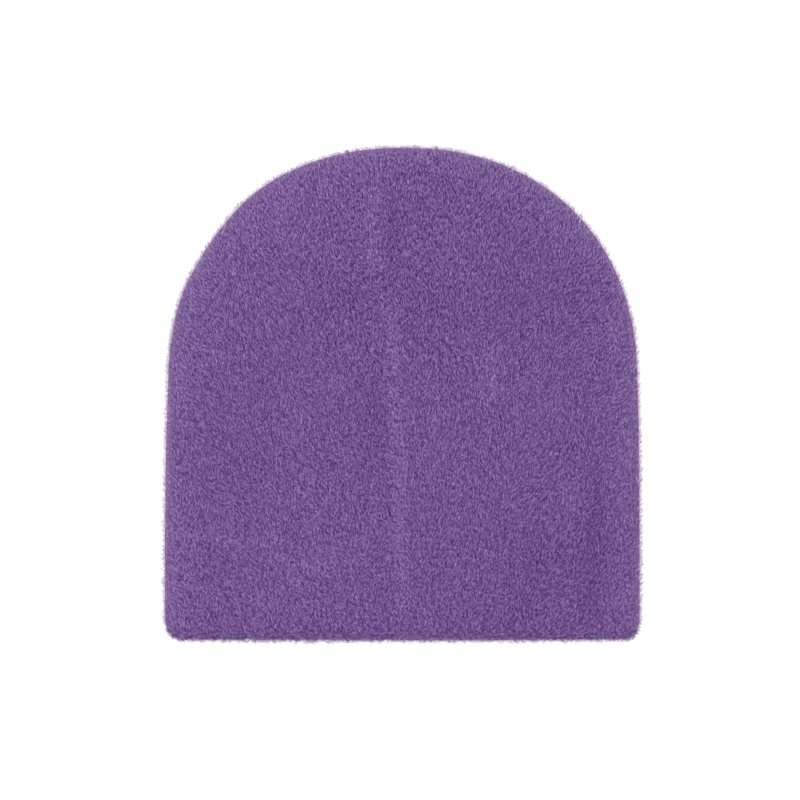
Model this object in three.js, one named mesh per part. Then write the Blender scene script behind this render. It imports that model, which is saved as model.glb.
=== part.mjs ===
// A plush knit cap lying flat on a surface: a dome-topped tube of brushed knit, hollow, open at the rim,
// with its rim turned in to a hem. All sizes are in millimetres. X runs across the cap, Y from the rim
// to the crown and Z up from the surface; the origin is under the middle of the cap.
import * as THREE from "three";
import { mergeVertices } from "three/addons/utils/BufferGeometryUtils.js";

// Outline, seen from above
const WIDTH = 227;
const HEIGHT = 235;
const SHOULDER_NARROWER = 1.3; // each side, where the straight part meets the dome
const NARROWING_POWER = 4; // how late the straight part narrows towards the dome
const DOME_HEIGHT = 112.5;
const DOME_POWER = 2.18; // 2 is an ellipse; more is squarer
const RIM_CORNER = { across: 7.5, along: 10.5 };

// Cloth
const WALL = 3.3;
const LAYER_GAP = 0.6;
const HEM_WALL = 2.8;
const HEM_DEPTH = 46;
const RIM_ROUNDING = 2.4;

// Folded side edges: where the upper and lower layers turn into each other
const FOLD = { middle: 7, shoulder: 15.2, upperReach: 8.5, lowerReach: 7, leastReach: 1.2 };
const PILLOW_POWER = 2.6; // how square the upper layer is between its folds

// The middle line: how far its seam and the outline beside it lean sideways, and how high the upper layer stands
const MIDDLE = [
  { fromRim: 0, lean: 0.6, edgeLean: 0, top: 21.6 },
  { fromRim: HEM_DEPTH, lean: -0.3, edgeLean: 0, top: 23.6 },
  { fromRim: 130, lean: -3.1, edgeLean: 0.35, top: 24.2 },
  { fromRim: 165, lean: -5.4, edgeLean: 0.6, top: 24.6 },
  { fromRim: HEIGHT, lean: -5, edgeLean: 0.9, top: 22.6 },
];
const LEAN_POWER = 6; // how far out the middle's lean holds before it turns into the outline's

// Creases, ridges and dents of the upper layer. Each runs between two points of the cap, before the lean
const CREASES = [
  { name: "crown dart", fromX: 1.4, fromY: 162, toX: 1.4, toY: 200, halfWidth: 3.6, rise: -1.6 },
  { name: "swell beside the dart", fromX: -8, fromY: 178, toX: -8, toY: 206, halfWidth: 5, rise: 0.7 },
  { name: "middle seam ridge", fromX: 0, fromY: 14, toX: 0, toY: 160, halfWidth: 5, rise: 1 },
  { name: "hollow beside the ridge", fromX: -10, fromY: 88, toX: -10, toY: 128, halfWidth: 5, rise: -0.6 },
  { name: "dimple at the dart end", fromX: -28, fromY: 160, toX: -17, toY: 165, halfWidth: 9, rise: -0.9 },
  { name: "soft fold at the right", fromX: 88, fromY: 16, toX: 93, toY: 66, halfWidth: 7, rise: -1.3 },
  { name: "step over the hem", fromX: -104, fromY: 49, toX: -62, toY: 47, halfWidth: 4, rise: 0.6 },
  { name: "end of the hem step", fromX: -58, fromY: 39, toX: -22, toY: 36, halfWidth: 4, rise: 0.5 },
];

// How finely the faces follow those shapes
const RIM_STEPS = [2, 5, 10, 20, 31, 40, HEM_DEPTH, 58, 74, 92, 108];
const DART_ANGLES = [1.6, 3.4, 6, 9.5, 14.5]; // degrees either side of the crown dart
const DOME_STEPS = 10; // each side, beyond those angles
const UPPER_SHARES = [0, 0.028, 0.06, 0.105, 0.17, 0.25, 0.35, 0.46, 0.58, 0.7, 0.82, 0.92];
const LOWER_SHARES = [0, 0.2, 0.45, 0.7, 0.88];
const FOLD_STEPS = 4;
const MERGE_DISTANCE = 1e-3;

const HALF_WIDTH = WIDTH / 2;
const SHOULDER_Y = HEIGHT - DOME_HEIGHT;
const DOME_HALF_WIDTH = HALF_WIDTH - SHOULDER_NARROWER;

const smooth = (share) => share * share * (3 - 2 * share);
const clamp01 = (value) => Math.min(1, Math.max(0, value));

/** A column of the MIDDLE table at a distance from the rim, eased between its rows. */
function alongMiddle(column, y) {
  const next = Math.max(1, MIDDLE.findIndex((row) => row.fromRim >= y));
  const [low, high] = [MIDDLE[next - 1], MIDDLE[next]];
  const share = smooth(clamp01((y - low.fromRim) / (high.fromRim - low.fromRim)));
  return low[column] + (high[column] - low[column]) * share;
}

/** Half the cap's width at a distance from the rim, below the dome, for a layer that lies `inset` inside. */
function halfWidthAt(y, inset) {
  const cornerShare = clamp01(1 - y / RIM_CORNER.along);
  const corner = RIM_CORNER.across * (1 - Math.sqrt(1 - cornerShare ** 2));
  return HALF_WIDTH - SHOULDER_NARROWER * (y / SHOULDER_Y) ** NARROWING_POWER - corner - inset;
}

/** A point of the dome's outline, a superellipse, for a layer that lies `inset` inside. */
function domeOutline(angle, inset) {
  const [c, s] = [Math.cos(angle), Math.sin(angle)];
  const power = 2 / DOME_POWER;
  return new THREE.Vector2(
    (DOME_HALF_WIDTH - inset) * Math.sign(c) * Math.abs(c) ** power,
    SHOULDER_Y + (DOME_HEIGHT - inset) * Math.abs(s) ** power,
  );
}

/** How far out a point is, from 0 on the middle to 1 on the outline. */
function outness(x, y) {
  if (y <= SHOULDER_Y) return Math.abs(x) / halfWidthAt(Math.max(y, RIM_CORNER.along), 0);
  const across = (Math.abs(x) / DOME_HALF_WIDTH) ** DOME_POWER;
  return (across + ((y - SHOULDER_Y) / DOME_HEIGHT) ** DOME_POWER) ** (1 / DOME_POWER);
}

/** How far a point is moved sideways: by the middle's lean inside, and by the outline's at the edge. */
function leanAt(x, y) {
  const edgeShare = Math.min(1, outness(x, y)) ** LEAN_POWER;
  return alongMiddle("lean", y) * (1 - edgeShare) + alongMiddle("edgeLean", y) * edgeShare;
}

/** What one crease adds to the height of a point. It is rounded across and fades at its ends. */
function creaseRise(crease, x, y) {
  const [runX, runY] = [crease.toX - crease.fromX, crease.toY - crease.fromY];
  const length = Math.hypot(runX, runY);
  const along = ((x - crease.fromX) * runX + (y - crease.fromY) * runY) / length;
  const aside = ((x - crease.fromX) * runY - (y - crease.fromY) * runX) / length;
  const beyond = Math.max(0, -along, along - length) / (2 * crease.halfWidth);
  return crease.rise * Math.exp(-((aside / crease.halfWidth) ** 2) - beyond ** 2);
}

/** The height of the upper layer's outer face, before its folded edge turns down. */
function upperHeight(x, y) {
  const pillow = 1 - Math.min(1, outness(x, y)) ** PILLOW_POWER;
  const body = FOLD.shoulder + (alongMiddle("top", y) - FOLD.shoulder) * pillow;
  return CREASES.reduce((height, crease) => height + creaseRise(crease, x, y), body);
}

/** 0 at the fold, rising as a quarter circle to 1. */
const quarterRound = (share) => Math.sqrt(1 - (1 - clamp01(share)) ** 2);

/**
 * Points from the middle of the upper layer, out round the folded edge and back to the middle of the
 * lower layer, over the straight line between a point of the middle and a point of the outline.
 */
function foldedRow(middle, outline, inset) {
  const reach = middle.distanceTo(outline);
  const points = [];
  const place = (fromOutline, upper, foldReach) => {
    const [x, y] = middle.clone().lerp(outline, 1 - fromOutline / reach);
    const turned = quarterRound(fromOutline / foldReach);
    const face = upper ? upperHeight(x, y) - inset : inset;
    const z = FOLD.middle + (face - FOLD.middle) * turned;
    points.push(new THREE.Vector3(x + leanAt(x, y), y, z));
  };
  const foldTurn = (step, foldReach) => foldReach * (1 - Math.cos((step / FOLD_STEPS) * (Math.PI / 2)));
  const upperReach = Math.max(FOLD.upperReach - inset, FOLD.leastReach);
  const lowerReach = Math.max(FOLD.lowerReach - inset, FOLD.leastReach);
  for (const share of UPPER_SHARES) place(reach - share * (reach - upperReach), true, upperReach);
  for (let step = FOLD_STEPS; step > 0; step--) place(foldTurn(step, upperReach), true, upperReach);
  for (let step = 0; step <= FOLD_STEPS; step++) place(foldTurn(step, lowerReach), false, lowerReach);
  for (const share of [...LOWER_SHARES].reverse()) place(reach - share * (reach - lowerReach), false, lowerReach);
  return points;
}

/** The row of one side of the cap at a distance from the rim. Side is 1 at the right and -1 at the left. */
function sideRow(y, inset, side) {
  return foldedRow(new THREE.Vector2(0, y), new THREE.Vector2(side * halfWidthAt(y, inset), y), inset);
}

/** The rows of the dome, from the right shoulder round the crown to the left shoulder. */
function domeRows(inset) {
  const nearest = DART_ANGLES.at(-1);
  const wide = Array.from({ length: DOME_STEPS }, (_, step) => 90 - (step * (90 - nearest)) / DOME_STEPS);
  const aside = [...wide, ...[...DART_ANGLES].reverse()];
  const angles = [...aside.map((a) => 90 - a), 90, ...[...aside].reverse().map((a) => 90 + a)];
  const centre = new THREE.Vector2(0, SHOULDER_Y);
  return angles.map((angle) => foldedRow(centre, domeOutline(THREE.MathUtils.degToRad(angle), inset), inset));
}

/** Collects triangles between neighbouring rows, and leaves out those that have shrunk to a line. */
class Skin {
  constructor() {
    this.corners = [];
  }

  triangle(a, b, c) {
    const shortest = Math.min(a.distanceTo(b), b.distanceTo(c), c.distanceTo(a));
    if (shortest < MERGE_DISTANCE) return;
    for (const point of [a, b, c]) this.corners.push(point.x, point.y, point.z);
  }

  addRows(rows) {
    rows.slice(1).forEach((row, index) => {
      const before = rows[index];
      row.slice(1).forEach((point, at) => {
        this.triangle(before[at], before[at + 1], point);
        this.triangle(before[at], point, row[at]);
      });
    });
    return this;
  }

  mesh(name, material) {
    const loose = new THREE.BufferGeometry();
    loose.setAttribute("position", new THREE.Float32BufferAttribute(this.corners, 3));
    const geometry = mergeVertices(loose, MERGE_DISTANCE);
    geometry.computeVertexNormals();
    const mesh = new THREE.Mesh(geometry, material);
    mesh.name = name;
    return mesh;
  }
}

/** Rows of one side along a path of { y, inset } steps. */
const pathRows = (path, side) => path.map((step) => sideRow(step.y, step.inset, side));

/** The cap's single wall: sides and dome, rounded at the rim on its outer side. */
function knitShell(material) {
  const inside = [...RIM_STEPS].reverse().map((y) => ({ y, inset: WALL }));
  const outside = RIM_STEPS.map((y) => ({ y, inset: 0 }));
  const rim = [
    { y: 0, inset: WALL },
    { y: 0, inset: RIM_ROUNDING },
    { y: RIM_ROUNDING * (1 - Math.SQRT1_2), inset: RIM_ROUNDING * (1 - Math.SQRT1_2) },
  ];
  const path = [{ y: SHOULDER_Y, inset: WALL }, ...inside, ...rim, ...outside, { y: SHOULDER_Y, inset: 0 }];
  return new Skin()
    .addRows(pathRows(path, 1))
    .addRows(pathRows([...path].reverse(), -1))
    .addRows(domeRows(0))
    .addRows(domeRows(WALL).reverse())
    .mesh("knit_shell", material);
}

/** The rim's turned-in band, close inside the shell, rounded at the rim on its inner side. */
function turnedHem(material) {
  const [outer, inner] = [WALL + LAYER_GAP, WALL + LAYER_GAP + HEM_WALL];
  const steps = RIM_STEPS.filter((y) => y > RIM_ROUNDING && y <= HEM_DEPTH);
  const path = [
    ...[...steps].reverse().map((y) => ({ y, inset: inner })),
    { y: RIM_ROUNDING, inset: inner },
    { y: RIM_ROUNDING * (1 - Math.SQRT1_2), inset: inner - RIM_ROUNDING * (1 - Math.SQRT1_2) },
    { y: 0, inset: inner - RIM_ROUNDING },
    { y: 0, inset: outer },
    ...[RIM_ROUNDING, ...steps].map((y) => ({ y, inset: outer })),
    { y: HEM_DEPTH, inset: inner },
  ];
  return new Skin()
    .addRows(pathRows(path, 1))
    .addRows(pathRows([...path].reverse(), -1))
    .mesh("turned_hem", material);
}

const plushKnit = new THREE.MeshStandardMaterial({ color: 0x735490, roughness: 0.95, metalness: 0 });

// The cap is drawn from its rim upwards, and then moved so that the origin is under its middle
const cap = new THREE.Group();
cap.position.set(0, -HEIGHT / 2, 0);
cap.add(knitShell(plushKnit), turnedHem(plushKnit));

const part = new THREE.Group();
part.add(cap);

export default part;
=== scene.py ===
"""The looks of a plush knit cap that lies flat: its cloth, its turned-in hem and its brushed nap.

The cloth is one folded wall with its knit in the material. The nap is modelled wisp by wisp: each wisp is a
thin closed kite that roots in the cloth and leans the way the cap was brushed. Lengths are in metres.
"""

import logging
import math
from dataclasses import dataclass, fields
from enum import Enum

import bmesh
import bpy
import numpy as np
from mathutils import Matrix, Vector


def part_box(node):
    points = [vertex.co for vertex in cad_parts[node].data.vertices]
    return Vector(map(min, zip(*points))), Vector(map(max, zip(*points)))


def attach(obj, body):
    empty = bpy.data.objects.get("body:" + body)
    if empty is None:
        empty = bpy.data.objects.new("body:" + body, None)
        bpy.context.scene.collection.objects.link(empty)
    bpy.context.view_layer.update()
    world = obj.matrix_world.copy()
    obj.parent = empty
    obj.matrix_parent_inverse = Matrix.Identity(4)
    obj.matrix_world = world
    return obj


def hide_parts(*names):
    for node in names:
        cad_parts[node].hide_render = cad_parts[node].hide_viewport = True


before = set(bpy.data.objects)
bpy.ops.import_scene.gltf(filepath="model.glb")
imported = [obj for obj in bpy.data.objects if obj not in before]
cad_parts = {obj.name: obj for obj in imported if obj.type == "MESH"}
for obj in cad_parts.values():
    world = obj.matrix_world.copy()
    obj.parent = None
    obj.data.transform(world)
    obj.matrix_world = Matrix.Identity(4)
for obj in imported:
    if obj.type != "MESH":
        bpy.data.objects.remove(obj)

MM = 0.001
TINY = 1e-12
SMALLEST_TRIANGLE = 1e-10
MERGE_DISTANCE = 0.01 * MM
UPPER_SLOPE = 0.7
UNDER_SLOPE = -0.6
SRGB_KNEE = 0.04045
SRGB_SLOPE = 12.92
SRGB_OFFSET = 0.055
SRGB_POWER = 2.4
BODY = "root"
WISP_MAP = "OFBake"
KNIT_MAP = "Knit"
SEED = 4107
LOG = logging.getLogger("knit_cap")


def smooth_step(share: np.ndarray) -> np.ndarray:
    """Eases a share from 0 to 1 with level ends."""
    return share * share * (3 - 2 * share)


def unit(vectors: np.ndarray) -> np.ndarray:
    """Scales each row of an array to length 1."""
    return vectors / np.maximum(np.linalg.norm(vectors, axis=-1, keepdims=True), TINY)


def along_surface(vectors: np.ndarray, normals: np.ndarray) -> np.ndarray:
    """Takes out of each vector the part that points off its surface."""
    return vectors - normals * (vectors * normals).sum(axis=-1, keepdims=True)


# The form of the cloth


@dataclass(frozen=True)
class Crease:
    """A long soft ridge or dent of the cloth, or a mark of painted light only, between places from the middle
    of the rim.
    """

    start: tuple[float, float]
    end: tuple[float, float]
    half_width: float
    rise: float = 0.0
    # Painted light: below 0 it is painted shade that darkens the nap, above 0 painted light that lightens it.
    tone: float = 0.0
    end_fade: float = 2.0

    def strength_at(self, x: np.ndarray, y: np.ndarray) -> np.ndarray:
        """Tells how much of the crease reaches places.

        Args:
            x: Places across the cap.
            y: Places up from the rim.

        Returns:
            Shares from 0 to 1, rounded across the crease and faded at its ends.
        """
        run = np.subtract(self.end, self.start)
        length = float(np.hypot(*run))
        along = ((x - self.start[0]) * run[0] + (y - self.start[1]) * run[1]) / length
        aside = ((x - self.start[0]) * run[1] - (y - self.start[1]) * run[0]) / length
        beyond = np.maximum(0, np.maximum(-along, along - length)) / (self.end_fade * self.half_width)
        return np.exp(-((aside / self.half_width) ** 2) - beyond**2)


@dataclass(frozen=True)
class Middle:
    """One row of the middle line's table: its lean, the outline's lean, and the upper layer's height."""

    from_rim: float
    lean: float
    edge_lean: float
    top: float


@dataclass(frozen=True)
class Fold:
    """The folded side edge, where the upper and the lower layer turn into each other."""

    middle: float = 7 * MM
    shoulder: float = 15.2 * MM
    upper_reach: float = 8.5 * MM
    lower_reach: float = 7 * MM
    least_reach: float = 1.2 * MM


@dataclass(frozen=True)
class Fineness:
    """How finely the cloth follows the form, in rows round the cap and columns out from its middle."""

    side_rows: int = 42
    dome_rows: int = 100
    hem_rows: int = 14
    rim_rows: int = 9
    upper_columns: int = 38
    fold_columns: int = 9
    lower_columns: int = 12
    side_crowding: float = 1.35
    upper_crowding: float = 1.15
    dome_evenness: float = 0.45


@dataclass(frozen=True)
class CapForm:
    """The cloth's smooth form as it lies: a dome-topped outline, with its layers folded into each other.

    The flattened edge is a stretch of the outline that is pressed in, to the right, by its rise. The dome's
    fill is the share of its box that its outline takes up.
    """

    half_width: float
    length: float
    hem_depth: float
    shoulder_narrower: float = 1.3 * MM
    narrowing_power: float = 4.0
    dome_height: float = 112.5 * MM
    dome_power: float = 2.18
    dome_fill: float = 0.8086
    corner_across: float = 7.5 * MM
    corner_along: float = 10.5 * MM
    wall: float = 3.3 * MM
    layer_gap: float = 0.6 * MM
    hem_wall: float = 2.8 * MM
    pillow_power: float = 2.6
    fold: Fold = Fold()
    middle: tuple[Middle, ...] = (
        Middle(0, 0.6 * MM, 0, 21.6 * MM),
        Middle(46 * MM, -0.3 * MM, 0, 23.6 * MM),
        Middle(130 * MM, -3.1 * MM, 0.35 * MM, 24.2 * MM),
        Middle(165 * MM, -5.4 * MM, 0.6 * MM, 24.6 * MM),
        Middle(235 * MM, -5 * MM, 0.9 * MM, 22.6 * MM),
    )
    lean_power: float = 6.0
    flattened_edge: Crease = Crease((-87.4 * MM, 198 * MM), (-97.2 * MM, 184 * MM), 7 * MM, 1.35 * MM)
    # Each crease's last number is its painted light: painted shade in the dents, painted light on the ridges.
    crown_dart: Crease = Crease((1.4 * MM, 162 * MM), (1.4 * MM, 200 * MM), 3.6 * MM, -1.6 * MM, -0.06)
    dart_swell: Crease = Crease((-8 * MM, 178 * MM), (-8 * MM, 206 * MM), 5 * MM, 0.7 * MM, 0.12)
    seam_ridge: Crease = Crease((0, 14 * MM), (0, 160 * MM), 5 * MM, 1 * MM, 0.1)
    ridge_hollow: Crease = Crease((-10 * MM, 88 * MM), (-10 * MM, 128 * MM), 5 * MM, -0.6 * MM, -0.06)
    dart_dimple: Crease = Crease((-28 * MM, 160 * MM), (-17 * MM, 165 * MM), 9 * MM, -0.9 * MM, -0.05)
    right_fold: Crease = Crease((88 * MM, 16 * MM), (93 * MM, 66 * MM), 7 * MM, -1.3 * MM, -0.09)
    hem_step: Crease = Crease((-104 * MM, 49 * MM), (-62 * MM, 47 * MM), 4 * MM, 0.6 * MM, 0.07)
    hem_step_end: Crease = Crease((-58 * MM, 39 * MM), (-22 * MM, 36 * MM), 4 * MM, 0.5 * MM, 0.07)
    # Marks of painted light only: lighter to the left and darker to the right as if lit from the left, and
    # two small lighter spots.
    brushed_marks: tuple[Crease, ...] = (
        Crease((18 * MM, 162 * MM), (66 * MM, 164 * MM), 22 * MM, tone=-0.04),
        Crease((44 * MM, 112 * MM), (45 * MM, 134 * MM), 5 * MM, tone=0.09),
        Crease((80 * MM, 64 * MM), (81 * MM, 69 * MM), 4.5 * MM, tone=0.1),
        Crease((-60 * MM, 70 * MM), (-46 * MM, 66 * MM), 7 * MM, tone=0.03),
        Crease((60 * MM, 14 * MM), (68 * MM, 36 * MM), 12 * MM, tone=-0.02),
        Crease((44 * MM, 10 * MM), (86 * MM, 44 * MM), 30 * MM, tone=-0.035),
        Crease((-100 * MM, 12 * MM), (-50 * MM, 30 * MM), 22 * MM, tone=0.03),
        Crease((-96 * MM, 150 * MM), (-40 * MM, 216 * MM), 28 * MM, tone=0.04),
    )

    @property
    def shoulder_y(self) -> float:
        """Where the straight sides meet the dome."""
        return self.length - self.dome_height

    @property
    def creases(self) -> tuple[Crease, ...]:
        """All the ridges and dents of the upper layer."""
        darts = (self.crown_dart, self.dart_swell, self.dart_dimple)
        return darts + (self.seam_ridge, self.ridge_hollow, self.right_fold, self.hem_step, self.hem_step_end)

    def along_middle(self, column: str, y: np.ndarray) -> np.ndarray:
        """Reads the middle line's table, eased between its rows.

        Args:
            column: The name of the table's column, such as top.
            y: Places up from the rim.

        Returns:
            The column's value at each place.
        """
        knots = np.array([row.from_rim for row in self.middle])
        values = np.array([getattr(row, column) for row in self.middle])
        low = np.clip(np.searchsorted(knots, y) - 1, 0, len(knots) - 2)
        share = smooth_step(np.clip((y - knots[low]) / (knots[low + 1] - knots[low]), 0, 1))
        return values[low] + (values[low + 1] - values[low]) * share

    def half_width_at(self, y: np.ndarray, inset: np.ndarray) -> np.ndarray:
        """Gives half the width of the straight part, with its rounded rim corner.

        Args:
            y: Places up from the rim, none above the shoulder.
            inset: How far the layer lies inside the outer face.

        Returns:
            The half widths.
        """
        corner_share = np.clip(1 - y / self.corner_along, 0, 1)
        corner = self.corner_across * (1 - np.sqrt(1 - corner_share**2))
        narrowing = self.shoulder_narrower * (y / self.shoulder_y) ** self.narrowing_power
        return self.half_width - narrowing - corner - inset

    def outness(self, x: np.ndarray, y: np.ndarray) -> np.ndarray:
        """Tells how far out places are.

        Args:
            x: Places across the cap.
            y: Places up from the rim.

        Returns:
            Shares from 0 on the middle to 1 on the outline.
        """
        side = np.abs(x) / self.half_width_at(np.clip(y, self.corner_along, self.shoulder_y), 0)
        across = np.abs(x) / (self.half_width - self.shoulder_narrower)
        up = np.maximum(0, y - self.shoulder_y) / self.dome_height
        dome = (across**self.dome_power + up**self.dome_power) ** (1 / self.dome_power)
        return np.where(y <= self.shoulder_y, side, dome)

    def lean_at(self, x: np.ndarray, y: np.ndarray) -> np.ndarray:
        """Tells how far places are moved sideways.

        Args:
            x: Places across the cap, before the lean.
            y: Places up from the rim.

        Returns:
            The middle's lean inside, turning into the outline's at the edge, and the flattened edge's push.
        """
        edge_share = np.minimum(1, self.outness(x, y)) ** self.lean_power
        inner = self.along_middle("lean", y) * (1 - edge_share)
        outer = self.along_middle("edge_lean", y) * edge_share
        pressed_in = self.flattened_edge.rise * self.flattened_edge.strength_at(x, y)
        return inner + outer + pressed_in

    def upper_height(self, x: np.ndarray, y: np.ndarray) -> np.ndarray:
        """Gives the height of the upper layer's outer face, before its folded edge turns down.

        Args:
            x: Places across the cap, before the middle's lean.
            y: Places up from the rim.

        Returns:
            The heights above the surface that the cap lies on.
        """
        pillow = 1 - np.minimum(1, self.outness(x, y)) ** self.pillow_power
        body = self.fold.shoulder + (self.along_middle("top", y) - self.fold.shoulder) * pillow
        return body + sum(crease.rise * crease.strength_at(x, y) for crease in self.creases)

    def painted_light_at(self, x: np.ndarray, y: np.ndarray) -> np.ndarray:
        """Gives the nap's painted shade in the dents, and its painted light on the ridges and the marks.

        Args:
            x: Places across the cap.
            y: Places up from the rim.

        Returns:
            What the places add to a wisp's shade.
        """
        flat_x = x - self.along_middle("lean", y)
        marks = self.creases + self.brushed_marks
        return sum(mark.tone * mark.strength_at(flat_x, y) ** 2 for mark in marks)

    def side_rows(self, y: np.ndarray, inset: np.ndarray, side: int) -> tuple[np.ndarray, np.ndarray]:
        """Gives the two ends of straight rows at distances from the rim.

        Args:
            y: The rows' distances from the rim.
            inset: How far the layer lies inside the outer face.
            side: 1 for the right and -1 for the left.

        Returns:
            The rows' ends on the middle line, and on the outline.
        """
        middle = np.stack([np.zeros_like(y), y], axis=-1)
        return middle, np.stack([side * self.half_width_at(y, inset), y], axis=-1)

    def dome_rows(self, angle: np.ndarray, inset: float) -> tuple[np.ndarray, np.ndarray]:
        """Gives the two ends of the dome's rows, which fan out from one point.

        Args:
            angle: The rows' directions, from 0 at the right to pi at the left.
            inset: How far the layer lies inside the outer face.

        Returns:
            The rows' ends on the middle line, and on the outline.
        """
        cos, sin, power = np.cos(angle), np.sin(angle), 2 / self.dome_power
        across = (self.half_width - self.shoulder_narrower - inset) * np.sign(cos) * np.abs(cos) ** power
        up = self.shoulder_y + (self.dome_height - inset) * np.abs(sin) ** power
        middle = np.stack([np.zeros_like(angle), np.full_like(angle, self.shoulder_y)], axis=-1)
        return middle, np.stack([across, up], axis=-1)

    def folded(
        self, rows: tuple[np.ndarray, np.ndarray], inset: np.ndarray, columns: "Columns"
    ) -> np.ndarray:
        """Lays the cloth over rows: along the upper layer, round the folded edge and back under.

        Args:
            rows: The rows' ends on the middle line, and on the outline.
            inset: How far each row's layer lies inside the outer face, one value or one for each row.
            columns: The places along a row.

        Returns:
            Points, one line of them for each row.
        """
        middle, outline = rows
        inset = np.broadcast_to(np.asarray(inset, float), middle.shape[:1])[:, None]
        reach = np.linalg.norm(outline - middle, axis=-1)[:, None]
        fold_reach = np.where(columns.upper, self.fold.upper_reach, self.fold.lower_reach)[None, :]
        fold_reach = np.maximum(fold_reach - inset, self.fold.least_reach)
        from_outline = (1 - columns.flat)[None, :] * (reach - fold_reach)
        from_outline = from_outline + fold_reach * (1 - np.cos(columns.turn))[None, :]
        share = (1 - from_outline / reach)[..., None]
        x, y = np.moveaxis(middle[:, None] * (1 - share) + outline[:, None] * share, -1, 0)
        face = np.where(columns.upper[None, :], self.upper_height(x, y) - inset, inset)
        turned = np.sqrt(1 - (1 - np.clip(from_outline / fold_reach, 0, 1)) ** 2)
        z = self.fold.middle + (face - self.fold.middle) * turned
        return np.stack([x + self.lean_at(x, y), y - self.length / 2, z], axis=-1)


@dataclass(frozen=True)
class Columns:
    """Places along a row: a share of the flat way out, an angle round the fold, and the layer."""

    flat: np.ndarray
    turn: np.ndarray
    upper: np.ndarray

    @classmethod
    def spread(cls, fineness: Fineness) -> "Columns":
        """Spreads places along a row.

        Args:
            fineness: How many places each stretch of the row has.

        Returns:
            The places, from the upper layer's middle to the lower layer's.
        """
        quarter = math.pi / 2
        upper = np.linspace(0, 1, fineness.upper_columns) ** fineness.upper_crowding
        lower = np.linspace(1, 0, fineness.lower_columns)
        over = np.linspace(quarter, 0, fineness.fold_columns)[1:]
        under = np.linspace(0, quarter, fineness.fold_columns)[1:-1]
        flat = np.concatenate([upper, np.ones(len(over) + len(under)), lower])
        turn = np.concatenate([np.full(len(upper), quarter), over, under, np.full(len(lower), quarter)])
        layer = np.repeat([True, False], [len(upper) + len(over), len(under) + len(lower)])
        return cls(flat, turn, layer)

    @property
    def outmost(self) -> int:
        """Which place lies on the outline."""
        return int(np.argmin(self.turn))


class Band(Enum):
    """The stretches of the cloth, from the hem's free edge round the rim to the crown."""

    HEM = 0
    RIM = 1
    BODY = 2


@dataclass(frozen=True)
class ClothGrid:
    """The cloth's nap side as rows of points, with their places in the flat knit and each row's band."""

    points: np.ndarray
    knit_places: np.ndarray
    bands: np.ndarray


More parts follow.
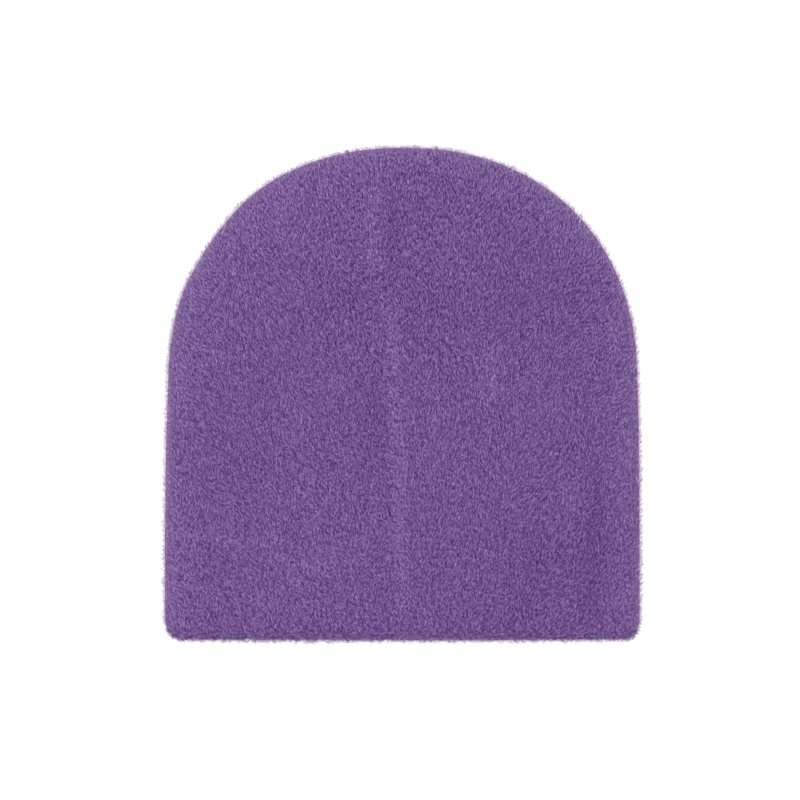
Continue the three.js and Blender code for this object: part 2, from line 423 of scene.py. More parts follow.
@dataclass(frozen=True)
class Cloth:
    """The whole cloth as one folded sheet: up to the crown outside, and turned in at the rim to the hem."""

    form: CapForm
    nap_depth: float = 0.3 * MM
    rim_clearance: float = 1.3 * MM
    fineness: Fineness = Fineness()

    @property
    def hem_inset(self) -> float:
        """How far the hem's nap side lies inside the cap's outer face."""
        return self.form.wall + self.form.layer_gap + self.form.hem_wall - self.nap_depth

    @property
    def thickness(self) -> float:
        """The cloth without its nap."""
        return self.form.wall - self.nap_depth

    @property
    def flat_size(self) -> tuple[float, float]:
        """The cloth before it was sewn: once round the cap, and from the hem's free edge to the crown."""
        return 4 * self.form.half_width, self.form.length + self.form.hem_depth

    @property
    def flat_area(self) -> float:
        """Works out the flat cloth's area.

        Returns:
            The area of two dome-topped layers, and of the hem all round.
        """
        across = 2 * self.form.half_width
        dome = self.form.dome_fill * across * self.form.dome_height
        return 2 * (across * self.form.shoulder_y + dome) + 2 * across * self.form.hem_depth

    def side_path(self) -> tuple[np.ndarray, np.ndarray, np.ndarray]:
        """Gives the path of one side's rows, from the hem's free edge round the rim to the shoulder.

        Returns:
            The rows' distances from the rim, their insets and their bands.
        """
        turn_radius = (self.hem_inset - self.nap_depth) / 2
        turn = np.linspace(0, math.pi, self.fineness.rim_rows)
        lowest = self.rim_clearance + turn_radius
        turn_y = lowest - turn_radius * np.sin(turn)
        turn_inset = self.nap_depth + turn_radius * (1 + np.cos(turn))
        hem_y = np.linspace(self.form.hem_depth, lowest, self.fineness.hem_rows)[:-1]
        up = np.linspace(0, 1, self.fineness.side_rows)[1:] ** self.fineness.side_crowding
        body_y = lowest + (self.form.shoulder_y - lowest) * up
        y = np.concatenate([hem_y, turn_y, body_y])
        inset = np.concatenate([
            np.full_like(hem_y, self.hem_inset), turn_inset, np.full_like(body_y, self.nap_depth)
        ])
        counts = (len(hem_y), len(turn_y), len(body_y))
        bands = np.repeat([band.value for band in Band], counts)
        return y, inset, bands

    def grid(self) -> ClothGrid:
        """Lays the points of the cloth's nap side.

        Returns:
            The grid, rows round the cap by places along a row.
        """
        columns = Columns.spread(self.fineness)
        y, inset, bands = self.side_path()
        right_rows, left_rows = (self.form.side_rows(y, inset, side) for side in (1, -1))
        place = np.linspace(-1, 1, self.fineness.dome_rows)[1:-1]
        even = self.fineness.dome_evenness
        angle = math.pi / 2 * (1 + even * place + (1 - even) * place**3)
        dome_rows = self.form.dome_rows(angle, self.nap_depth)
        right = self.form.folded(right_rows, inset, columns)
        left = self.form.folded(left_rows, inset, columns)[::-1]
        dome = self.form.folded(dome_rows, self.nap_depth, columns)
        from_rim = np.concatenate([[0], np.cumsum(np.hypot(np.diff(y), np.diff(inset)))])
        from_rim = from_rim - from_rim[np.argmin(y)]
        starts = [from_rim, np.full(len(angle), from_rim[-1]), from_rim[::-1]]
        rows = [right_rows, dome_rows, tuple(ends[::-1] for ends in left_rows)]
        points = np.concatenate([right, dome, left])
        return ClothGrid(
            points,
            self.knit_places(points, np.concatenate(starts), rows, columns),
            np.concatenate([bands, np.full(len(angle), Band.BODY.value), bands[::-1]]),
        )

    def knit_places(
        self,
        points: np.ndarray,
        starts: np.ndarray,
        rows: list[tuple[np.ndarray, np.ndarray]],
        columns: Columns,
    ) -> np.ndarray:
        """Finds where each point of the grid lies in the flat knit, so that stitches keep their size.

        Args:
            points: The grid's points.
            starts: Each row's distance along the cloth from the rim.
            rows: The rows' ends, by stretches of rows.
            columns: The places along a row.

        Returns:
            Places across and along the knit. The lower layer's mirror the upper layer's.
        """
        ways = unit(np.concatenate([outline - middle for middle, outline in rows]))
        steps = np.linalg.norm(np.diff(points, axis=1), axis=-1)
        run = np.concatenate([np.zeros((len(points), 1)), np.cumsum(steps, axis=1)], axis=1)
        edge = run[:, columns.outmost, None]
        back = (run[:, -1:] - run) * edge / (run[:, -1:] - edge)
        run = np.where(np.arange(run.shape[1]) <= columns.outmost, run, back)
        across = run * ways[:, :1]
        return np.stack([across, starts[:, None] + run * ways[:, 1:]], axis=-1)

    def build(self, grid: ClothGrid, finish: "KnitFinish") -> bpy.types.Object:
        """Makes the cloth as a mesh with its real thickness.

        Args:
            grid: The points of its nap side.
            finish: What the cloth is dressed with.

        Returns:
            The cloth's object.
        """
        rows, columns = grid.points.shape[:2]
        half_side = 0.5
        bm = bmesh.new()
        bmesh.ops.create_grid(bm, x_segments=columns - 1, y_segments=rows - 1, size=half_side)
        knit = bm.loops.layers.uv.new(KNIT_MAP)
        place = {
            vertex: (
                round((vertex.co.y + half_side) * (rows - 1)),
                round((vertex.co.x + half_side) * (columns - 1)),
            )
            for vertex in bm.verts
        }
        for face in bm.faces:
            for loop in face.loops:
                loop[knit].uv = grid.knit_places[place[loop.vert]]
        for vertex, spot in place.items():
            vertex.co = grid.points[spot]
        bmesh.ops.remove_doubles(bm, verts=bm.verts, dist=MERGE_DISTANCE)
        bmesh.ops.recalc_face_normals(bm, faces=bm.faces)
        highest = max(bm.faces, key=lambda face: face.calc_center_median().z)
        if highest.normal.z < 0:
            bmesh.ops.reverse_faces(bm, faces=bm.faces)
        piece = new_piece("knit_cloth", bm)
        solidify = piece.modifiers.new("Thickness", "SOLIDIFY")
        solidify.thickness = self.thickness
        solidify.offset = -1
        piece.data.materials.append(finish.material())
        return piece


def new_piece(name: str, bm: bmesh.types.BMesh) -> bpy.types.Object:
    """Turns a finished bmesh into a smooth-shaded object.

    Args:
        name: The piece's name.
        bm: The mesh, which is freed.

    Returns:
        The new object, linked to the scene.
    """
    mesh = bpy.data.meshes.new(name)
    bm.to_mesh(mesh)
    bm.free()
    mesh.shade_smooth()
    piece = bpy.data.objects.new(name, mesh)
    bpy.context.scene.collection.objects.link(piece)
    return piece


# Finishes


@dataclass(frozen=True)
class Tint:
    """A colour as it is seen, from 0 to 255 a channel."""

    red: float
    green: float
    blue: float

    def linear(self) -> tuple[float, float, float, float]:
        """Turns the colour into light.

        Returns:
            What a shader's socket takes.
        """
        seen = [channel / 255 for channel in (self.red, self.green, self.blue)]
        light = [
            c / SRGB_SLOPE if c <= SRGB_KNEE else ((c + SRGB_OFFSET) / (1 + SRGB_OFFSET)) ** SRGB_POWER
            for c in seen
        ]
        return (*light, 1.0)


class Recipe:
    """A material while it is put together from nodes."""

    def __init__(self, name: str) -> None:
        """Starts the material.

        Args:
            name: Its name.
        """
        self.material = bpy.data.materials.new(name)
        self.material.use_nodes = True
        self.tree = self.material.node_tree
        self.shader = self.tree.nodes["Principled BSDF"]

    def feed(self, socket: bpy.types.NodeSocket, value: object) -> None:
        """Wires another node's socket to a socket, or sets its value.

        Args:
            socket: The socket that is fed.
            value: The other node's socket, or the value.
        """
        if isinstance(value, bpy.types.NodeSocket):
            self.tree.links.new(value, socket)
        else:
            socket.default_value = value

    def node(self, kind: str, **inputs: object) -> bpy.types.Node:
        """Adds a node.

        Args:
            kind: The node's type.
            **inputs: What its sockets take, by their names with _ for a space.

        Returns:
            The node.
        """
        node = self.tree.nodes.new(kind)
        for name, value in inputs.items():
            self.feed(node.inputs[name.replace("_", " ")], value)
        return node

    def math(self, operation: str, *values: object) -> bpy.types.NodeSocket:
        """Adds a sum.

        Args:
            operation: What it does.
            *values: The numbers or sockets that it takes.

        Returns:
            The result's socket.
        """
        node = self.tree.nodes.new("ShaderNodeMath")
        node.operation = operation
        for socket, value in zip(node.inputs, values):
            self.feed(socket, value)
        return node.outputs["Value"]

    def split_map(self, uv_map: str) -> tuple[bpy.types.NodeSocket, bpy.types.NodeSocket]:
        """Reads a UV map.

        Args:
            uv_map: The map's name.

        Returns:
            The places across and along it.
        """
        place = self.tree.nodes.new("ShaderNodeUVMap")
        place.uv_map = uv_map
        split = self.node("ShaderNodeSeparateXYZ", Vector=place.outputs["UV"])
        return split.outputs["X"], split.outputs["Y"]

    def fibre(self, scale: float, detail: float) -> bpy.types.NodeSocket:
        """Adds loose fibre as noise over the object.

        Args:
            scale: How many tufts there are in a metre.
            detail: How many finer layers it has.

        Returns:
            The noise's socket.
        """
        place = self.tree.nodes.new("ShaderNodeTexCoord").outputs["Object"]
        return self.node("ShaderNodeTexNoise", Vector=place, Scale=scale, Detail=detail).outputs["Fac"]


@dataclass(frozen=True)
class WispFinish:
    """Dyed fibre: each wisp has its own shade from a ramp of hues, with painted shade at its root."""

    name: str = "plush_wisps"
    shades: tuple[tuple[float, Tint], ...] = (
        (0.0, Tint(20, 0, 44)),
        (0.2, Tint(52, 25, 84)),
        (0.36, Tint(82, 54, 119)),
        (0.5, Tint(106, 76, 136)),
        (0.64, Tint(124, 91, 147)),
        (0.8, Tint(139, 111, 166)),
        (1.0, Tint(160, 137, 181)),
    )
    root_shade: float = 0.5
    root_roughness: float = 0.85
    tip_roughness: float = 0.62
    sheen: float = 0.05
    sheen_roughness: float = 0.4
    sheen_tint: Tint = Tint(214, 186, 240)
    specular: float = 0.06

    def material(self) -> bpy.types.Material:
        """Makes the material, or finds the one that is made.

        Returns:
            The material.
        """
        found = bpy.data.materials.get(self.name)
        if found:
            return found
        recipe = Recipe(self.name)
        shader = recipe.shader
        shader.inputs["Sheen Weight"].default_value = self.sheen
        shader.inputs["Sheen Roughness"].default_value = self.sheen_roughness
        shader.inputs["Sheen Tint"].default_value = self.sheen_tint.linear()
        shader.inputs["Specular IOR Level"].default_value = self.specular
        across, along = recipe.split_map(WISP_MAP)
        ramp = recipe.node("ShaderNodeValToRGB", Fac=across)
        stops = ramp.color_ramp.elements
        for (place, tint), stop in zip(self.shades[:: len(self.shades) - 1], stops):
            stop.position, stop.color = place, tint.linear()
        for place, tint in self.shades[1:-1]:
            stops.new(place).color = tint.linear()
        # Painted shade: the colour is scaled down towards the wisp's root.
        painted_root_shade_scale = recipe.math("MULTIPLY_ADD", along, 1 - self.root_shade, self.root_shade)
        shaded = recipe.tree.nodes.new("ShaderNodeVectorMath")
        shaded.operation = "SCALE"
        recipe.feed(shaded.inputs["Vector"], ramp.outputs["Color"])
        recipe.feed(shaded.inputs["Scale"], painted_root_shade_scale)
        recipe.feed(shader.inputs["Base Color"], shaded.outputs["Vector"])
        wear = self.tip_roughness - self.root_roughness
        recipe.feed(shader.inputs["Roughness"], recipe.math("MULTIPLY_ADD", along, wear, self.root_roughness))
        return recipe.material


# Painted light: a lighter, pinker copy of the wisps' ramp, with less painted shade at the roots, for the
# folded edges and the rim's loose hairs.
EDGE_PAINTED_LIGHT_FINISH = WispFinish(
    "plush_edge_wisps_painted_light",
    ((0.0, Tint(40, 4, 62)), (0.5, Tint(121, 77, 146)), (1.0, Tint(168, 132, 186))),
    root_shade=0.6,
)
# Painted light: a much lighter ramp for the loose hairs at the folded edges, standing in for light shining
# through them, with little painted shade at the roots.
FUZZ_PAINTED_LIGHT_FINISH = WispFinish(
    "plush_fuzz_painted_light",
    ((0.0, Tint(118, 84, 136)), (0.5, Tint(162, 136, 174)), (1.0, Tint(206, 188, 214))),
    root_shade=0.8,
)


@dataclass(frozen=True)
class KnitFinish:
    """The knit under the nap: columns of V stitches, blurred by loose fibre, with painted shade in its
    hollows.
    """

    painted_hollow_shade: Tint = Tint(60, 36, 88)
    yarn: Tint = Tint(96, 66, 124)
    stitch_width: float = 2.2 * MM
    stitch_height: float = 1.6 * MM
    slant: float = 0.9
    roundness: float = 0.6
    leg_relief: float = 0.7
    column_relief: float = 0.3
    stitch_share: float = 0.6
    fibre_share: float = 0.55
    fibre_scale: float = 1400.0
    fibre_detail: float = 4.0
    relief: float = 0.35 * MM
    bump: float = 0.8
    roughness: float = 0.95
    yarn_polish: float = 0.15
    sheen: float = 0.12
    specular: float = 0.12

    def stitch_height_socket(self, recipe: Recipe) -> bpy.types.NodeSocket:
        """Works out the stitches' relief: two slanted legs in each column, with a groove between columns.

        Args:
            recipe: The material.

        Returns:
            The relief's socket, from 0 in the grooves to 1 on the yarn.
        """
        across, along = recipe.split_map(KNIT_MAP)
        column = recipe.math("MULTIPLY", across, 1 / self.stitch_width)
        course = recipe.math("MULTIPLY", along, 1 / self.stitch_height)
        beside = recipe.math("PINGPONG", column, 0.5)
        cheek = recipe.math("PINGPONG", recipe.math("MULTIPLY", beside, 2.0), 0.5)
        leg = recipe.math("PINGPONG", recipe.math("MULTIPLY_ADD", beside, 2 * self.slant, course), 0.5)
        round_cheek = recipe.math("POWER", recipe.math("MULTIPLY", cheek, 2.0), self.roundness)
        round_leg = recipe.math("POWER", recipe.math("MULTIPLY", leg, 2.0), self.roundness)
        legs = recipe.math("MULTIPLY_ADD", round_leg, self.leg_relief, self.column_relief)
        return recipe.math("MULTIPLY", round_cheek, legs)

    def material(self) -> bpy.types.Material:
        """Makes the material.

        Returns:
            The material.
        """
        recipe = Recipe("knit_ground")
        shader = recipe.shader
        shader.inputs["Sheen Weight"].default_value = self.sheen
        shader.inputs["Specular IOR Level"].default_value = self.specular
        stitches = self.stitch_height_socket(recipe)
        fibre = recipe.fibre(self.fibre_scale, self.fibre_detail)
        yarn_relief = recipe.math("MULTIPLY", stitches, self.stitch_share)
        relief = recipe.math("MULTIPLY_ADD", fibre, self.fibre_share, yarn_relief)
        # Painted shade: the low places of the stitches and the fibre take the darker hollow colour.
        mix = recipe.node("ShaderNodeMix", Factor=relief)
        mix.data_type = "RGBA"
        recipe.feed(mix.inputs["A"], self.painted_hollow_shade.linear())
        recipe.feed(mix.inputs["B"], self.yarn.linear())
        bump = recipe.node("ShaderNodeBump", Strength=self.bump, Distance=self.relief, Height=relief)
        recipe.feed(shader.inputs["Base Color"], mix.outputs["Result"])
        wear = recipe.math("MULTIPLY_ADD", stitches, -self.yarn_polish, self.roughness)
        recipe.feed(shader.inputs["Roughness"], wear)
        recipe.feed(shader.inputs["Normal"], bump.outputs["Normal"])
        return recipe.material


# The nap


@dataclass(frozen=True)
class SlowWaves:
    """A smooth random field over the cap: a sum of seeded waves of about one length."""

    length: float
    seed: int
    count: int = 14
    paces: tuple[float, float] = (0.7, 1.6)
    strength: float = 0.7

    def at(self, x: np.ndarray, y: np.ndarray) -> np.ndarray:
        """Gives the field at places.

        Args:
            x: Places across the cap.
            y: Places along it.

        Returns:
            Values, mostly between -1 and 1.
        """
        rng = np.random.default_rng(self.seed)
        angle = rng.uniform(0, math.tau, self.count)
        phase = rng.uniform(0, math.tau, self.count)
        pace = math.tau / (self.length * rng.uniform(*self.paces, self.count))
        across = np.multiply.outer(x, pace * np.cos(angle)) + np.multiply.outer(y, pace * np.sin(angle))
        return np.cos(across + phase).sum(axis=-1) * math.sqrt(2 / self.count) * self.strength


class Zone(Enum):
    """The parts of the cloth whose nap differs."""

    UPPER = "upper"
    EDGE = "edge"
    UNDER = "under"
    RIM = "rim"
    HEM = "hem"


@dataclass(frozen=True)
class Ground:
    """The triangles of the cloth that wisps root in.

    The strides are an even sequence's, which spaces the roots in their triangles and spreads their shades.
    """

    corners: np.ndarray
    normals: np.ndarray
    zones: np.ndarray
    strides: tuple[float, float, float] = (0.819173, 0.671044, 0.549700)
    blur: float = 0.03

    @classmethod
    def of_grid(cls, grid: ClothGrid) -> "Ground":
        """Splits the cloth's grid into triangles, each with its zone.

        Args:
            grid: The points of the cloth's nap side.

        Returns:
            The ground.
        """
        points, bands = grid.points, grid.bands
        a, b, c, d = points[:-1, :-1], points[1:, :-1], points[1:, 1:], points[:-1, 1:]
        corners = np.stack([np.stack([a, b, c], 2), np.stack([a, c, d], 2)], 2)
        band = np.maximum(bands[:-1], bands[1:])
        band = np.broadcast_to(band[:, None, None], corners.shape[:3]).reshape(-1)
        corners = corners.reshape(-1, 3, 3)
        cross = np.cross(corners[:, 1] - corners[:, 0], corners[:, 2] - corners[:, 0])
        size = np.linalg.norm(cross, axis=-1)
        kept = size > SMALLEST_TRIANGLE
        corners, band, normals = corners[kept], band[kept], unit(cross[kept])
        top = np.argmax(corners[:, :, 2].mean(axis=1))
        normals = normals * np.sign(normals[top, 2])
        zones = np.full(len(corners), Zone.EDGE, dtype=object)
        zones[normals[:, 2] > UPPER_SLOPE] = Zone.UPPER
        zones[normals[:, 2] < UNDER_SLOPE] = Zone.UNDER
        zones[band == Band.RIM.value] = Zone.RIM
        zones[band == Band.HEM.value] = Zone.HEM
        return cls(corners, normals, zones)

    def scatter(
        self, zone: Zone, per_mm2: float, rng: np.random.Generator
    ) -> tuple[np.ndarray, np.ndarray, np.ndarray]:
        """Picks roots over a zone, spread evenly over its triangles and inside each.

        Args:
            zone: The zone.
            per_mm2: How many wisps root in a square millimetre.
            rng: The source of chance.

        Returns:
            The roots, the ground's normals there, and shares from 0 to 1 that differ between neighbours.
        """
        inside = self.zones == zone
        corners, normals = self.corners[inside], self.normals[inside]
        cross = np.cross(corners[:, 1] - corners[:, 0], corners[:, 2] - corners[:, 0])
        area = np.linalg.norm(cross, axis=-1) / 2
        count = int(area.sum() / MM**2 * per_mm2)
        places = (np.arange(count) + rng.random(count)) * area.sum() / count
        picked = np.searchsorted(np.cumsum(area), places).clip(0, len(area) - 1)
        steps = np.multiply.outer(self.strides, np.arange(count))
        u, v, share = (steps + rng.normal(0, self.blur, steps.shape)) % 1
        over = u + v > 1
        u, v = np.where(over, 1 - u, u)[:, None], np.where(over, 1 - v, v)[:, None]
        first, second, third = np.moveaxis(corners[picked], 1, 0)
        return first + u * (second - first) + v * (third - first), normals[picked], share


@dataclass(frozen=True)
class Wisps:
    """One kind of wisp, with the least and the most of each size. Angles are in degrees."""

    name: str
    zone: Zone
    per_mm2: float
    length: tuple[float, float]
    width: tuple[float, float]
    lift: tuple[float, float]
    scatter: float
    unrest: float = 0.0
    shade: float = 0.5
    shade_spread: float = 0.47
    airy: float = 0.0
    finish: WispFinish = WispFinish()
    parts: int = 1


@dataclass(frozen=True)
class Strands:
    """Wisps as arrays, a row for each: their roots, the ways of their two halves, and their sizes."""

    roots: np.ndarray
    first: np.ndarray
    last: np.ndarray
    across: np.ndarray
    length: np.ndarray
    width: np.ndarray
    shade: np.ndarray

    def picked(self, order: np.ndarray) -> "Strands":
        """Gives some of the wisps, in an order."""
        return Strands(*(getattr(self, item.name)[order] for item in fields(self)))


@dataclass(frozen=True)
class NapLay:
    """How the nap lies: brushed from the rim to the crown, and outwards from a line right of the middle."""

    parting_x: float = 25 * MM
    parting_softness: float = 38 * MM
    outward: float = 17.0
    drift: SlowWaves = SlowWaves(34 * MM, SEED)
    drift_degrees: float = 13.0
    swirl: SlowWaves = SlowWaves(7 * MM, SEED + 2)
    swirl_degrees: float = 5.0
    rim_unrest: float = 1.7
    calm_above: float = 118 * MM
    turned_back_near: float = 6 * MM
    turned_back_share: float = 0.75
    droop: float = 0.35
    arch: float = 10.0
    bend: float = 6.0
    roll: float = 20.0
    sharpest: float = 1.0

    def ways(
        self,
        roots: np.ndarray,
        normals: np.ndarray,
        from_rim: np.ndarray,
        kind: Wisps,
        rng: np.random.Generator,
    ) -> tuple[np.ndarray, np.ndarray, np.ndarray]:
        """Leans each wisp the way that the cloth was brushed, and bends it over.

        Args:
            roots: Where the wisps root.
            normals: The ground's normals there.
            from_rim: The roots' distances from the rim.
            kind: The kind of wisp.
            rng: The source of chance.

        Returns:
            The directions of the wisps' root halves, of their tip halves, and across them.
        """
        count = len(roots)
        x, y = roots[:, 0], roots[:, 1]
        turn = np.radians(self.outward) * np.tanh((self.parting_x - x) / self.parting_softness)
        turn = turn + np.radians(self.drift_degrees) * self.drift.at(x, y)
        turn = turn + np.radians(self.swirl_degrees) * self.swirl.at(x, y)
        unrest = 1 + (self.rim_unrest - 1) * np.clip(1 - from_rim / self.calm_above, 0, 1)
        turn = turn + np.radians(kind.scatter) * unrest * rng.standard_normal(count)
        back = rng.random(count) < self.turned_back_share * (1 - from_rim / self.turned_back_near)
        turn = np.where(back, turn + math.pi, turn)
        flow = np.stack([-np.sin(turn), np.cos(turn), np.full(count, -self.droop)], axis=-1)
        flow = flow + kind.unrest * rng.standard_normal((count, 3))
        flow = unit(along_surface(flow, normals))
        bend = np.tan(np.radians(self.bend) * rng.standard_normal(count))
        bend = bend.clip(-self.sharpest, self.sharpest)[:, None]
        bent = unit(flow + bend * np.cross(normals, flow))
        lift = rng.uniform(*kind.lift, count)[:, None]
        rising, falling = np.radians(lift + self.arch / 2), np.radians(lift - self.arch / 2)
        first = flow * np.cos(rising) + normals * np.sin(rising)
        last = bent * np.cos(falling) + normals * np.sin(falling)
        side = unit(np.cross(first + last, normals))
        roll = np.radians(self.roll * rng.standard_normal(count))
        roll = roll.clip(-self.sharpest, self.sharpest)[:, None]
        return first, last, side * np.cos(roll) + np.cross(side, unit(first + last)) * np.sin(roll)


@dataclass(frozen=True)
class WispMesh:
    """The joined mesh of many wisps: each is a thin closed kite, arched between its root and its tip."""

    belly_at: float = 0.4
    floor_clearance: float = 0.03 * MM
    map_width: float = 0.03

    def facing(self, strands: Strands, airy: float) -> np.ndarray:
        """Tells which way the wisps' corners face, so that they are lit as soft fibres and not as blades.

        Args:
            strands: The wisps.
            airy: How much light from above gets through to them from behind.

        Returns:
            Normals, one for each corner of each wisp.
        """
        root, tip = (unit(np.cross(strands.across, way)) for way in (strands.first, strands.last))
        normals = unit(np.stack([root, root + tip, root + tip, tip], axis=1).reshape(-1, 3))
        return unit(normals + airy * np.array([0, 0, 1]))

    def build(self, name: str, strands: Strands, airy: float) -> bpy.types.Object:
        """Joins wisps into one mesh.

        Args:
            name: The piece's name.
            strands: The wisps.
            airy: How much light from above gets through to them from behind.

        Returns:
            The wisps' object.
        """
        belly = strands.roots + strands.first * strands.length * self.belly_at
        tip = belly + strands.last * strands.length * (1 - self.belly_at)
        half = strands.across * strands.width / 2
        corners = np.stack([strands.roots, belly - half, belly + half, tip], axis=1)
        corners[..., 2] = np.maximum(corners[..., 2], self.floor_clearance)
        kite = np.array([[0, 2, 1], [1, 2, 3], [0, 1, 3], [0, 3, 2]])
        faces = (np.arange(len(corners))[:, None, None] * corners.shape[1] + kite).reshape(-1)
        mesh = bpy.data.meshes.new(name)
        mesh.vertices.add(corners.size // 3)
        mesh.vertices.foreach_set("co", corners.reshape(-1))
        mesh.loops.add(len(faces))
        mesh.loops.foreach_set("vertex_index", faces)
        mesh.polygons.add(len(faces) // 3)
        mesh.polygons.foreach_set("loop_start", np.arange(0, len(faces), 3))
        shade = strands.shade[:, None] + self.map_width * np.array([0, -1, 1, 0])
        along = np.broadcast_to([0, self.belly_at, self.belly_at, 1], shade.shape)
        places = np.stack([shade, along], axis=-1).reshape(-1, 2)
        layer = mesh.uv_layers.new(name=WISP_MAP)
        layer.data.foreach_set("uv", places[faces].reshape(-1))
        mesh.update(calc_edges=True)
        mesh.shade_smooth()
        mesh.normals_split_custom_set_from_vertices(self.facing(strands, airy))
        piece = bpy.data.objects.new(name, mesh)
        bpy.context.scene.collection.objects.link(piece)
        return piece


@dataclass(frozen=True)
class Nap:
    """The brushed nap of the whole cap."""

    form: CapForm
    ground: Ground
    lay: NapLay = NapLay()
    mesh: WispMesh = WispMesh()
    sink: float = 0.03 * MM
    patches: SlowWaves = SlowWaves(46 * MM, SEED + 1)
    patch_tone: float = 0.01
    tufts: SlowWaves = SlowWaves(4 * MM, SEED + 3)
    tuft_tone: float = 0.015
    painted_border_sheen: float = 0.3
    painted_border_sheen_power: float = 18.0
    shade_range: tuple[float, float] = (0.03, 0.97)

    def shades(self, roots: np.ndarray, from_rim: np.ndarray, share: np.ndarray, kind: Wisps) -> np.ndarray:
        """Gives each wisp its shade, so that neighbours differ and the nap looks even from afar.

        Args:
            roots: Where the wisps root.
            from_rim: The roots' distances from the rim.
            share: How light each wisp is within its kind.
            kind: The kind of wisp.

        Returns:
            Shades from dark to light, between 0 and 1.
        """
        x, y = roots[:, 0], roots[:, 1]
        shade = kind.shade + kind.shade_spread * (2 * share - 1)
        shade = shade + self.patch_tone * self.patches.at(x, y) + self.tuft_tone * self.tufts.at(x, y)
        # On the upper layer: the creases' and marks' painted light and shade, and painted sheen lightening
        # the nap towards the outline.
        if kind.zone == Zone.UPPER:
            shade = shade + self.form.painted_light_at(x, from_rim)
            shade = shade + self.painted_border_sheen * self.form.outness(x, from_rim) ** self.painted_border_sheen_power
        return np.clip(shade, *self.shade_range)

    def build(self, kind: Wisps) -> list[bpy.types.Object]:
        """Makes the wisps of one kind, in parts from the left to the right of the cap.

        Args:
            kind: The kind of wisp.

        Returns:
            The parts' objects.
        """
        rng = np.random.default_rng([SEED, sum(map(ord, kind.name))])
        roots, normals, share = self.ground.scatter(kind.zone, kind.per_mm2, rng)
        from_rim = np.clip(roots[:, 1] + self.form.length / 2, 0, self.form.length)
        ways = self.lay.ways(roots, normals, from_rim, kind, rng)
        length = rng.uniform(*kind.length, len(roots))[:, None]
        width = rng.uniform(*kind.width, len(roots))[:, None]
        shade = self.shades(roots, from_rim, share, kind)
        strands = Strands(roots - normals * self.sink, *ways, length, width, shade)
        pieces = []
        for number, part in enumerate(np.array_split(np.argsort(roots[:, 0], kind="stable"), kind.parts), 1):
            piece = self.mesh.build(f"nap_{kind.name}_{number}", strands.picked(part), kind.airy)
            piece.data.materials.append(kind.finish.material())
            pieces.append(piece)
        return pieces


# The studio


@dataclass(frozen=True)
class Lamp:
    """A square soft lamp that faces the cap."""

    name: str
    place: tuple[float, float, float]
    side: float
    power: float

    def build(self) -> bpy.types.Object:
        """Hangs the lamp.

        Returns:
            Its object.
        """
        data = bpy.data.lights.new(self.name, "AREA")
        data.size = self.side
        data.energy = self.power
        lamp = bpy.data.objects.new(self.name, data)
        lamp.location = self.place
        lamp.rotation_euler = (-Vector(self.place)).to_track_quat("-Z", "Y").to_euler()
        bpy.context.scene.collection.objects.link(lamp)
        return lamp


@dataclass(frozen=True)
class Studio:
    """A pale floor under even light, and the camera straight above the cap."""

    picture_side: float = 382 * MM
    picture_centre: tuple[float, float] = (-1.08 * MM, -3.1 * MM)
    focus_height: float = 7 * MM
    lens: float = 120.0
    sensor: float = 36.0
    floor_side: float = 40.0
    floor_shade: float = 0.9
    floor_roughness: float = 0.9
    floor_specular: float = 0.1
    sky: float = 0.62
    lamps: tuple[Lamp, ...] = (
        Lamp("overhead", (0, 0, 2.4), 1.1, 69),
        Lamp("side", (-1.3, 0.6, 1.5), 0.9, 5),
    )

    def camera(self) -> bpy.types.Object:
        """Hangs the camera so that the picture takes in its side's length at the cap's edge.

        Returns:
            Its object.
        """
        data = bpy.data.cameras.new("camera")
        data.lens = self.lens
        data.sensor_width = self.sensor
        camera = bpy.data.objects.new("camera", data)
        away = self.picture_side * self.lens / self.sensor
        camera.location = (*self.picture_centre, self.focus_height + away)
        bpy.context.scene.collection.objects.link(camera)
        bpy.context.scene.camera = camera
        return camera

    def floor(self) -> bpy.types.Object:
        """Lays the floor.

        Returns:
            Its object.
        """
        bm = bmesh.new()
        bmesh.ops.create_grid(bm, x_segments=2, y_segments=2, size=self.floor_side / 2)
        floor = new_piece("floor", bm)
        recipe = Recipe("pale_floor")
        shader = recipe.shader
        shader.inputs["Base Color"].default_value = (*[self.floor_shade] * 3, 1)
        shader.inputs["Roughness"].default_value = self.floor_roughness
        shader.inputs["Specular IOR Level"].default_value = self.floor_specular
        floor.data.materials.append(recipe.material)
        return floor

    def build(self) -> bpy.types.Object:
        """Sets up the camera, the light and the floor.

        Returns:
            The floor's object.
        """
        self.camera()
        for lamp in self.lamps:
            lamp.build()
        world = bpy.data.worlds.new("studio")
        world.use_nodes = True
        background = world.node_tree.nodes["Background"]
        background.inputs["Color"].default_value = (1, 1, 1, 1)
        background.inputs["Strength"].default_value = self.sky
        bpy.context.scene.world = world
        bpy.context.scene.view_settings.view_transform = "Standard"
        return self.floor()


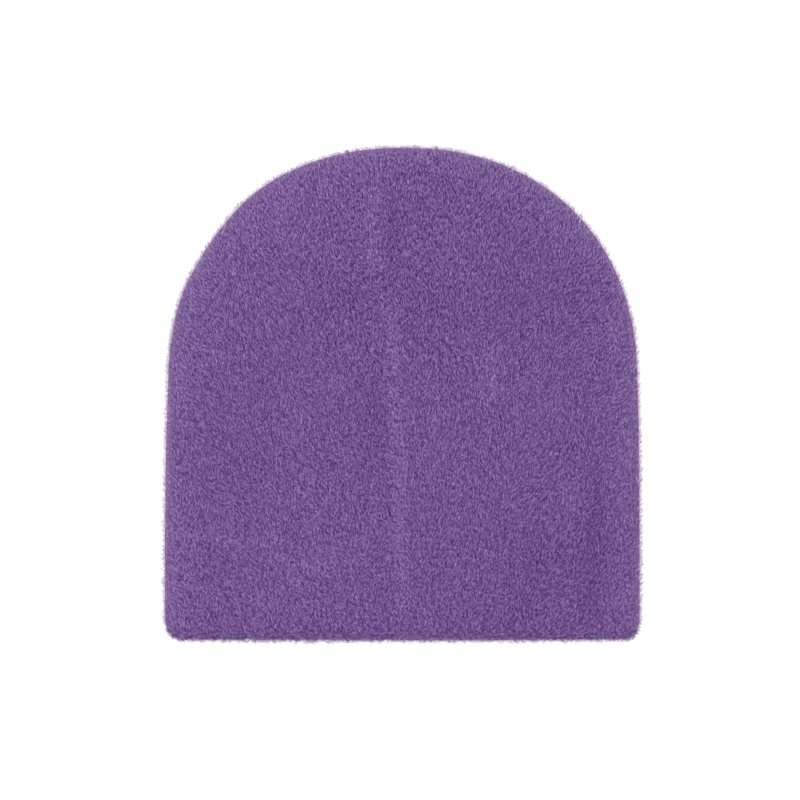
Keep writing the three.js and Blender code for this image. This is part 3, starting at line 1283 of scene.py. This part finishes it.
NAP_KINDS = (
    Wisps(
        "upper", Zone.UPPER, 3.55, (1.2 * MM, 2.4 * MM), (0.24 * MM, 0.4 * MM), lift=(3, 14), scatter=18,
        airy=0.4, parts=4,
    ),
    # The edge wisps sit above the middle of their ramp: more painted light along the folded edges.
    Wisps(
        "edge", Zone.EDGE, 3.2, (1 * MM, 1.9 * MM), (0.24 * MM, 0.4 * MM), lift=(0, 9), scatter=24,
        unrest=0.1, shade=0.58, shade_spread=0.4, airy=0.7, finish=EDGE_PAINTED_LIGHT_FINISH,
    ),
    Wisps(
        "fuzz", Zone.EDGE, 0.7, (2 * MM, 4.6 * MM), (0.06 * MM, 0.13 * MM), lift=(20, 70), scatter=40,
        unrest=0.5, airy=1.8, finish=FUZZ_PAINTED_LIGHT_FINISH,
    ),
    Wisps("under", Zone.UNDER, 0.3, (3 * MM, 5 * MM), (0.7 * MM, 1.1 * MM), lift=(1, 6), scatter=28),
    Wisps(
        "rim", Zone.RIM, 2.6, (1.3 * MM, 3 * MM), (0.22 * MM, 0.4 * MM), lift=(3, 24), scatter=50,
        unrest=0.5, shade=0.56, airy=0.7,
    ),
    # The rim's loose hairs take the edge ramp's painted light.
    Wisps(
        "rim_fuzz", Zone.RIM, 1.4, (2 * MM, 5 * MM), (0.06 * MM, 0.14 * MM), lift=(15, 60), scatter=60,
        unrest=0.9, shade=0.6, airy=1, finish=EDGE_PAINTED_LIGHT_FINISH,
    ),
    Wisps("hem", Zone.HEM, 0.3, (2.6 * MM, 4.6 * MM), (0.6 * MM, 1 * MM), lift=(2, 9), scatter=34),
)


def place_piece(piece: bpy.types.Object) -> None:
    """Puts a piece on the cap's body, and logs how many faces it has.

    Args:
        piece: The piece.
    """
    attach(piece, BODY)
    LOG.info("%s: %d faces", piece.name, len(piece.data.polygons))


def main() -> None:
    """Builds the cap's cloth and nap and the studio."""
    logging.basicConfig(level=logging.INFO, format="%(message)s")
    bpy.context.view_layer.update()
    shell_low, shell_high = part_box("knit_shell")
    hem_low, hem_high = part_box("turned_hem")
    half_width = (shell_high[0] - shell_low[0]) / 2
    form = CapForm(half_width, shell_high[1] - shell_low[1], hem_high[1] - hem_low[1])
    cloth = Cloth(form)
    grid = cloth.grid()
    piece = cloth.build(grid, KnitFinish())
    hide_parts("knit_shell", "turned_hem")
    place_piece(piece)
    nap = Nap(form, Ground.of_grid(grid))
    wisps = [part for kind in NAP_KINDS for part in nap.build(kind)]
    for part in wisps:
        place_piece(part)
    Studio().build()


if __name__ == "__main__":
    main()
